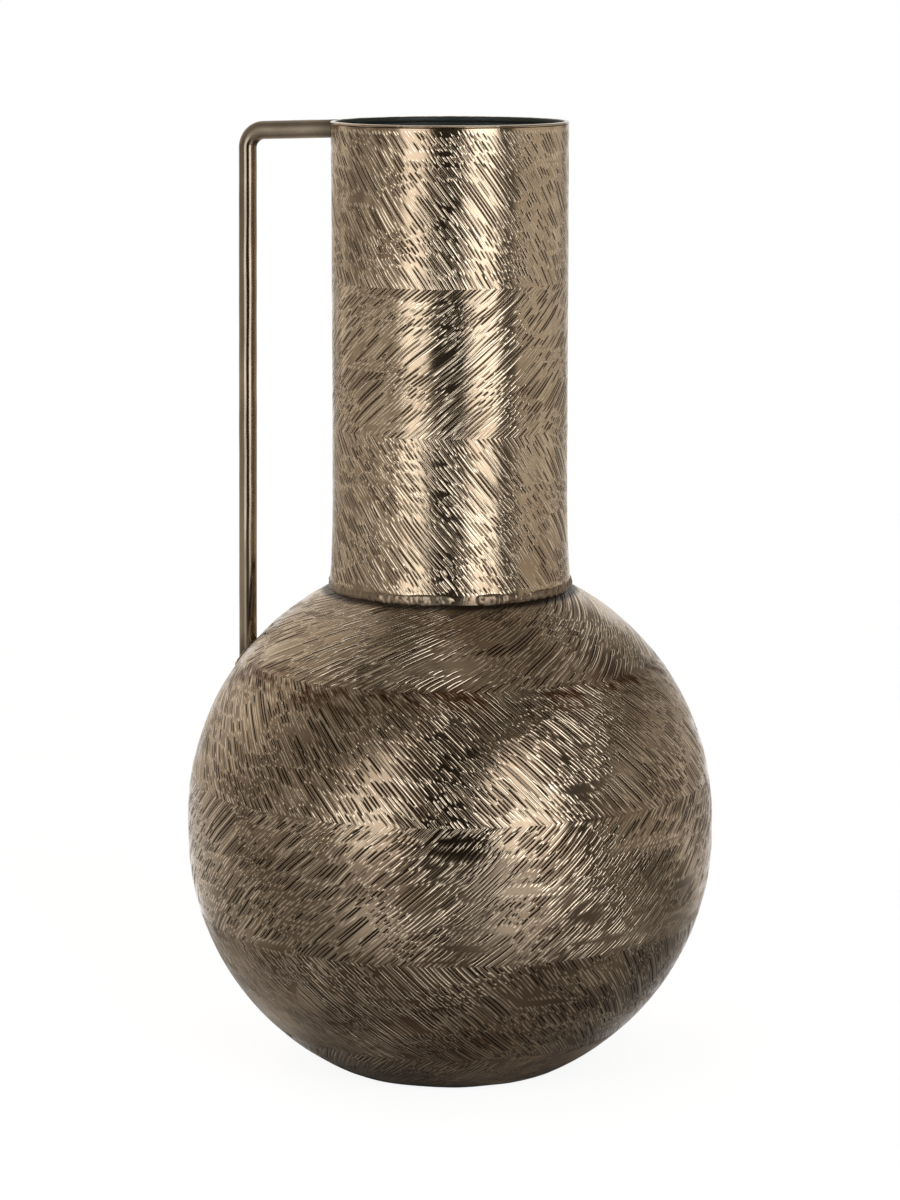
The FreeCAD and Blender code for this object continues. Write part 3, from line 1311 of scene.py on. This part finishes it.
@dataclass
class RootBead:
    """The lumpy bead where the neck comes down on the body."""

    centre_radius: float = 60.95
    centre_height: float = 249.0
    reach: float = 0.85
    rise: float = 2.9
    columns: int = 1000
    around: int = 18
    lump: float = 0.32
    lump_length: float = 26.0
    lump_rise: float = 0.1
    knob: float = 0.12
    knob_length: float = 5.0
    knob_lift: float = 0.25
    pimple: float = 0.13
    pimple_length: float = 2.4
    knob_side: float = 0.3
    seed: int = 31
    pit: Pair = (1.2, 0.8)
    pit_shade: float = 0.8
    under_shade: Pair = (0.1, 1.2)
    heaviest: float = 0.9

    def build(self) -> Piece:
        """An ellipse whose size and place change with soft and sharp noise round the neck.

        Its underside and the pits between its pimples are darkened with painted shade.

        Returns:
            The placed piece.
        """
        angle = turns(self.columns)
        ring = round_axis(self.centre_radius, self.centre_height, angle)
        soft = waves(ring, self.lump_length, self.seed)
        sharp = waves(ring, self.knob_length, self.seed + 1)
        turn = -np.linspace(0, TURN, self.around, endpoint=False)[:, None]
        out, up = np.cos(turn), np.sin(turn)
        radius = self.centre_radius + self.reach * (1 + self.lump * soft + self.knob * sharp) * out
        height = self.centre_height + self.rise * (1 + self.lump_rise * soft) * up
        height = height + self.knob_lift * sharp * (out > self.knob_side)
        fine = waves(round_axis(radius, height, angle), self.pimple_length, self.seed + 2)
        radius = radius + self.pimple * fine * (out > 0)
        # Painted shade on the bead's underside and in the pits between its pimples.
        under = np.clip(-up * self.under_shade[1] - self.under_shade[0], 0, self.heaviest)
        grime = np.maximum(under, self.pit_shade * ramp_up(-fine, *self.pit))
        shell = Shell("NeckBead")
        shell.hoop(round_axis(radius, height, angle), 1, grime=grime)
        return placed(shell.build(WELD), Slot.WELD, "neck_weld")


@dataclass
class Handle:
    """The bent rod and the two beads that hold it."""

    globe: Globe
    neck: Neck
    radius: float = 4.6
    bend_radius: float = 9.0
    foot_angle: float = 53.6
    bar_fall: float = 1.7
    upright_lean: float = 0.5
    sink: float = 1.0
    around: int = 48
    bar_steps: int = 14
    bend_steps: int = 24
    upright_steps: int = 89
    bead: float = 1.8
    bead_around: int = 16
    top_steps: int = 96
    foot_steps: int = 120
    bead_gap: float = 0.2
    bead_beats: int = 17
    bead_beat: float = 0.07
    bead_lump: float = 0.06
    bead_length: float = 5.0
    bead_grime: float = 0.35
    seeds: tuple[int, int, int] = (41, 51, 52)
    uneven: float = 0.035
    uneven_length: Triple = (9.0, 9.0, 26.0)
    crease: float = 0.2
    crease_beat: float = 1.9
    crease_width: float = 9.0
    fold: Pair = (0.45, 1.6)
    fold_place: float = 4.0
    fold_shade: float = 0.9
    end_shade: Pair = (0.5, 0.8)
    shade_width: float = 9.0
    worn_end: Pair = (8.0, 12.0)

    def __post_init__(self) -> None:
        """Works out the axis: bar, bend and upright, in the plane y = 0."""
        fall, lean = math.radians(self.bar_fall), math.radians(self.upright_lean)
        self.bar = np.array([-math.cos(fall), 0, -math.sin(fall)])
        self.upright = np.array([-math.sin(lean), 0, -math.cos(lean)])
        top = float(node_box("lip_ring")[1][2])
        angle, globe = math.radians(self.foot_angle), self.globe
        self.start = np.array([-self.neck.radius, 0, top - self.radius])
        self.centre = np.array([0, 0, globe.upper_centre])
        self.foot = np.array([-globe.radius * math.sin(angle), 0,
                              globe.upper_centre + globe.radius * math.cos(angle)])
        sides = np.stack([self.bar, -self.upright], axis=1)[[0, 2]]
        reach = np.linalg.solve(sides, (self.foot - self.start)[[0, 2]])
        self.turn = math.acos(float(self.bar @ self.upright))
        setback = self.bend_radius * math.tan(self.turn / 2)
        self.bend_start = self.start + reach[0] * self.bar - setback * self.bar

    def bend(self) -> Array:
        """Circles of the rod round its bend, whose axis is a circle that touches both straights.

        Returns:
            Rings by points by 3.
        """
        angle = np.linspace(0, 1, self.bend_steps + 1)[:, None] * self.turn
        inward = (self.upright - math.cos(self.turn) * self.bar) / math.sin(self.turn)
        centre = self.bend_start + self.bend_radius * (
            np.sin(angle) * self.bar + (1 - np.cos(angle)) * inward)
        heading = np.cos(angle) * self.bar + np.sin(angle) * inward
        return self.circles(centre, heading, self.radius, self.around)

    def circles(self, centre: Array, heading: Array, radius: float, count: int) -> Array:
        """Circles about axis points, square to their headings.

        Args:
            centre: Axis points, rings by 3.
            heading: The axis's direction at each.
            radius: Radius of the circles.
            count: Points in each.

        Returns:
            Rings by points by 3.
        """
        turn = turns(count)[None, :, None]
        spoke = np.cos(turn) * np.cross(heading, SIDE)[:, None] + np.sin(turn) * SIDE
        return centre[:, None] + radius * spoke

    def neck_end(self, circle: Array) -> Array:
        """The bar's end points moved along it to a cylinder just inside the neck's surface."""
        wanted = -np.sqrt((self.neck.radius - self.sink) ** 2 - circle[:, 1] ** 2)
        return circle + ((wanted - circle[:, 0]) / self.bar[0])[:, None] * self.bar

    def onto_globe(self, circle: Array, size: float) -> Array:
        """Points moved along the upright's line to a sphere about the upper bowl's centre.

        Args:
            circle: Points by 3.
            size: Radius of the sphere.

        Returns:
            The points on the sphere.
        """
        offset = circle - self.centre
        along = offset @ self.upright
        step = -along - np.sqrt(along ** 2 - (offset ** 2).sum(axis=1) + size ** 2)
        return circle + step[:, None] * self.upright

    def rod(self) -> Piece:
        """The rod: straight lines from the neck to the bend, the bend, and straight to the body.

        The bend's inside is creased and darkened with painted shade, the bar and the bend are rubbed matt,
        and painted shade darkens both ends, where the rod meets the neck and the body.

        Returns:
            The placed piece.
        """
        bend = self.bend()
        first, last = bend[0], bend[-1]
        bar = np.linspace(0, 1, self.bar_steps, endpoint=False)[:, None, None]
        upright = np.linspace(0, 1, self.upright_steps + 1)[1:, None, None]
        foot = self.onto_globe(last, self.globe.radius - self.sink)
        rings = np.concatenate([
            self.neck_end(first) * (1 - bar) + first * bar, bend, last * (1 - upright) + foot * upright])
        axis = rings.mean(axis=1, keepdims=True)
        spoke = rings - axis
        spoke /= np.linalg.norm(spoke, axis=2, keepdims=True)
        inside = np.clip(-(spoke @ (self.bar - self.upright)) / math.sqrt(2), 0, 1)
        place = np.arange(len(rings))[:, None] - self.bar_steps - self.bend_steps / 2
        crease = np.cos(place * self.crease_beat) * bell(place, self.crease_width) * inside ** 2
        uneven = self.uneven * waves(rings, self.uneven_length, self.seeds[0]) + self.crease * crease
        rings = rings + uneven[..., None] * spoke
        # Painted shade at both ends of the rod and in the fold inside the bend.
        near, far = (bell(np.linalg.norm(rings - end, axis=2), self.shade_width)
                     for end in (self.start, self.foot))
        ends = self.end_shade[1] * far + self.end_shade[0] * near
        fold = bell(place - self.fold_place, self.crease_width) * inside
        fold = self.fold_shade * eased(fold * self.fold[1] - self.fold[0])
        worn = ramp_down(place, *self.worn_end) + 0 * inside
        shell = Shell("HandleRod")
        numbers = shell.rings(rings[::-1], grime=np.maximum(ends, fold)[::-1], work=worn[::-1])
        tips = shell.rings(np.stack([axis[-1], axis[0]], axis=1))[0]
        shell.strip(numbers)
        shell.fan(numbers[0], tips[0], opens=True)
        shell.fan(numbers[-1], tips[1], opens=False)
        return placed(shell.build(ROD), Slot.SMOOTH, "handle_rod")

    def bead_on(self, name: str, path: Array, out: Array, seed: int) -> Shell:
        """A bead along a closed path on a surface.

        Its section is a circle between the surface's normal and the direction away from the rod,
        whose size ripples like a run of weld.

        Args:
            name: The piece's name.
            path: Points of the path, round the rod.
            out: Surface normals at those points.
            seed: Seed of its noise.

        Returns:
            The bead as a shell.
        """
        along = np.roll(path, -1, axis=0) - np.roll(path, 1, axis=0)
        along /= np.linalg.norm(along, axis=1, keepdims=True)
        away = np.cross(along, out)
        place = np.arange(len(path)) / len(path)
        ripple = 1 + self.bead_beat * np.cos(place * TURN * self.bead_beats)
        ripple = ripple + self.bead_lump * waves(path, self.bead_length, seed)
        turn = np.linspace(0, TURN, self.bead_around, endpoint=False)[:, None, None]
        points = path + self.bead * ripple[:, None] * (np.cos(turn) * away + np.sin(turn) * out)
        shell = Shell(name)
        shell.hoop(points, -1, grime=self.bead_grime)
        return shell

    def top_bead(self) -> Piece:
        """The bead round the bar's end on the neck, kept below the crest of the lip.

        Returns:
            The placed piece.
        """
        turn, size = turns(self.top_steps), self.radius + self.bead_gap
        aside, height = size * np.sin(turn), self.start[2] + size * np.cos(turn)
        out = np.stack([-np.sqrt(self.neck.radius ** 2 - aside ** 2), aside, 0 * aside], axis=1)
        path = out + np.stack([0 * aside, 0 * aside, height], axis=1)
        shell = self.bead_on("HandleTopBead", path, out / self.neck.radius, self.seeds[1])
        limit = float(node_box("handle_top_weld")[1][2])
        shell.points[0] = np.minimum(shell.points[0], [np.inf, np.inf, limit])
        return placed(shell.build(WELD), Slot.WELD, "handle_top_weld")

    def foot_bead(self) -> Piece:
        """The bead round the upright's slanted foot on the shoulder.

        Returns:
            The placed piece.
        """
        size = self.radius + self.bead_gap
        circle = self.circles(self.foot[None], self.upright[None], size, self.foot_steps)[0]
        path = self.onto_globe(circle, self.globe.radius)
        out = (path - self.centre) / self.globe.radius
        shell = self.bead_on("HandleFootBead", path, out, self.seeds[2])
        return placed(shell.build(WELD), Slot.WELD, "handle_foot_weld")


# Studio


@dataclass(frozen=True)
class FloorFinish:
    """Pale floor that the camera sees as white but for the shadow, and that fades out at its edge."""

    radius: float
    away: Triple
    colour: Triple = (0.86, 0.86, 0.865)
    clouded: Triple = (0.84, 0.84, 0.84)
    cloud_share: float = 0.3
    cover: float = 0.45
    edge: Pair = (0.95, 0.85)
    behind: Pair = (0.1, 0.2)
    glow: float = 0.75
    sheen: Triple = (0.9, 0.9, 0.9)
    satin: float = 0.55
    satin_roughness: float = 0.30

    def material(self) -> bpy.types.Material:
        """The floor's material: matt, and see-through and lit in part where the background shows.

        That is to the camera, and in the metal and glass for the floor behind the vase.

        Returns:
            The material.
        """
        made = bpy.data.materials.new("floor_finish")
        graph = Graph(made)
        place = graph.node("TexCoord").outputs["Object"]
        out = graph.value("Value", "VectorMath", {"operation": "LENGTH"}, {0: place}) / self.radius
        seen, glossy, through = graph.rays()
        behind = ramp_up(graph.dot(place, self.away), *self.behind)
        shown = at_most(seen + (glossy + through) * behind, 1.0)
        cover = ramp_down(out, *self.edge) * (1 - (1 - self.cover) * shown)
        colour = graph.mixed(graph.noise(place, 3.0) * self.cloud_share, self.colour, self.clouded)
        matt = graph.node("BsdfDiffuse", inputs={"Color": colour})
        satin = graph.node("BsdfGlossy", inputs={
            "Color": (*self.sheen, 1), "Roughness": self.satin_roughness})
        cloth = graph.node("MixShader", inputs={0: (1 - seen) * self.satin, 1: matt, 2: satin})
        glow = graph.node("Emission", inputs={"Strength": shown * self.glow})
        both = graph.node("AddShader", inputs={0: cloth, 1: glow})
        mix = graph.node("MixShader", inputs={0: cover, 1: graph.node("BsdfTransparent"), 2: both})
        graph.node("OutputMaterial", inputs={"Surface": mix})
        return made


@dataclass(frozen=True)
class SoftBox:
    """A soft lamp that stands on the floor and faces the vase."""

    name: str
    turn: float
    width: float
    radiance: float
    height: float = 1.35
    distance: float = 1.7
    middle: float = 0.69
    colour: Triple = (0.92, 0.955, 1.0)


@dataclass
class Studio:
    """Pale floor, white surroundings, soft lamps and the camera at the photograph's angle."""

    camera_turn: float = 15.0
    camera_distance: float = 1.8989
    camera_height: float = 0.5609
    camera_pitch: float = 9.60
    lens: float = 113.04
    sensor: float = 36.0
    clip: Pair = (0.05, 50.0)
    floor_radius: float = 2.2
    floor_depth: float = 0.1
    floor_sides: int = 128
    side_level: float = 0.615
    patch_level: float = 0.22
    patch_scale: float = 5.5
    patch_edge: Pair = (0.42, 0.16)
    tint: Triple = (1.04, 0.97, 0.88)
    upper_drop: float = 0.42
    upper_edge: Pair = (0.05, 0.35)
    back_left: float = 0.5
    back_left_turn: float = -138.0
    back_left_rise: float = 0.5
    back_left_edge: Pair = (0.78, 0.18)
    white_edge: Pair = (-0.88, 0.1)
    low_edge: Pair = (0.85, 0.2)
    dark_level: float = 0.03
    dark_edge: Pair = (0.93, 0.03)
    gap_level: float = 0.10
    gap_front: Pair = (0.0, 0.05)
    gap_start: Pair = (0.70, 0.05)
    gap_end: Pair = (0.93, 0.04)
    boxes: tuple[SoftBox, ...] = (
        SoftBox("LeftSoftBox", -34, 0.78, 1.59), SoftBox("RightSoftBox", 31, 0.98, 2.1))

    def heading(self, turn: float) -> Array:
        """Level direction from the vase at an angle round from the camera, positive to the right."""
        angle = math.radians(self.camera_turn + turn)
        return np.array([math.sin(angle), -math.cos(angle), 0])

    def stand(self, name: str, data: bpy.types.ID, turn: float, away: float, height: float,
              pitch: float = 0.0) -> Piece:
        """Puts a camera or lamp round the vase, facing it.

        Args:
            name: The object's name.
            data: The camera or lamp.
            turn: Angle round from the camera's side.
            away: Distance from the axis.
            height: Height above the floor.
            pitch: How far it looks down.

        Returns:
            The object, linked into the scene.
        """
        made = bpy.data.objects.new(name, data)
        place = self.heading(turn) * away
        made.location = (place[0], place[1], height)
        made.rotation_euler = (math.radians(90 - pitch), 0, math.radians(self.camera_turn + turn))
        bpy.context.scene.collection.objects.link(made)
        return made

    def camera(self) -> None:
        """The camera, with its lens for the long side of the picture."""
        data = bpy.data.cameras.new("Camera")
        data.lens, data.sensor_width, data.sensor_fit = self.lens, self.sensor, "AUTO"
        data.clip_start, data.clip_end = self.clip
        bpy.context.scene.camera = self.stand(
            "Camera", data, 0, self.camera_distance, self.camera_height, self.camera_pitch)

    def lamps(self) -> None:
        """The soft boxes, each turned to the vase and hidden from the camera."""
        for box in self.boxes:
            data = bpy.data.lights.new(box.name, "AREA")
            data.shape, data.size, data.size_y = "RECTANGLE", box.width, box.height
            data.energy = box.radiance * math.pi * box.width * box.height
            data.color = box.colour
            made = self.stand(box.name, data, box.turn, box.distance, box.middle)
            made.visible_camera = False

    def floor(self) -> None:
        """A round pale floor that fades out into the white surroundings before its edge."""
        shell = Shell("Floor")
        edge = round_axis(self.floor_radius / MM, -self.floor_depth, turns(self.floor_sides))
        ring = shell.rings(edge[None])[0]
        tip = shell.rings(np.array([[[0.0, 0.0, -self.floor_depth]]]))[0, 0]
        shell.fan(ring, tip, opens=True)
        made = shell.build(FloorFinish(self.floor_radius, tuple(self.heading(180))))

    def surroundings(self) -> None:
        """The world: white to the camera and behind the vase, grey round it, dark behind the camera.

        The grey is patchy, darker higher up and brighter at the back left. The dark part is what
        stands behind a studio camera, with a dark gap at the right; both only show in the metal.
        """
        world = bpy.data.worlds.new("Studio")
        bpy.context.scene.world = world
        graph = Graph(world)
        where = graph.node("TexCoord").outputs["Generated"]
        level = graph.node("VectorMath", {"operation": "MULTIPLY"}, {0: where, 1: (1, 1, 0)})
        level = graph.node("VectorMath", {"operation": "NORMALIZE"}, {0: level}).outputs[0]
        ahead, aside = (graph.dot(level, tuple(self.heading(turn))) for turn in (0, 90))
        up = graph.value(2, "SeparateXYZ", None, {0: where})
        low = ramp_down(up, *self.low_edge)
        dark = ramp_up(ahead, *self.dark_edge) * low
        gap = (ramp_up(aside, *self.gap_start) * ramp_down(aside, *self.gap_end)
               * ramp_up(ahead, *self.gap_front) * low)
        seen, glossy, through = graph.rays()
        shone = at_most(glossy + through, 1.0)
        white = at_least(seen, shone * ramp_down(ahead, *self.white_edge))
        patch = ramp_up(graph.noise(where, self.patch_scale, 1.0), *self.patch_edge)
        grey = self.patch_level + (self.side_level - self.patch_level) * patch
        grey = grey * (1 - self.upper_drop * ramp_up(up, *self.upper_edge))
        rise = self.back_left_rise
        high = self.heading(self.back_left_turn) * math.cos(rise) + np.array([0, 0, math.sin(rise)])
        bright = ramp_up(graph.dot(where, tuple(high)), *self.back_left_edge)
        grey = grey + self.back_left * bright
        grey = grey + (self.gap_level - grey) * gap
        grey = grey + (self.dark_level - grey) * dark
        shade = graph.node("CombineColor", inputs=dict(enumerate(grey * part for part in self.tint)))
        colour = graph.mixed(white, shade.outputs[0], (1, 1, 1))
        back = graph.node("Background", inputs={"Color": colour, "Strength": 1.0})
        graph.node("OutputWorld", inputs={"Surface": back})

    def build(self) -> None:
        """Everything round the vase."""
        self.floor()
        self.surroundings()
        self.lamps()
        self.camera()
        bpy.context.scene.view_settings.view_transform = "Standard"


def main() -> None:
    """Builds the vase's pieces in order, then the studio."""
    logging.basicConfig(level=logging.INFO, format="%(name)s: %(message)s")
    globe = Globe()
    neck = Neck(globe)
    handle = Handle(globe, neck)
    makers = (globe.upper, globe.lower, neck.build, RootBead().build, Lip().build,
              handle.rod, handle.top_bead, handle.foot_bead)
    for make in makers:
        piece = make()
        log.info("%s rides on %s as %s", piece.name, piece["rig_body"], piece["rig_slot"])
    Studio().build()


if __name__ == "__main__":
    main()
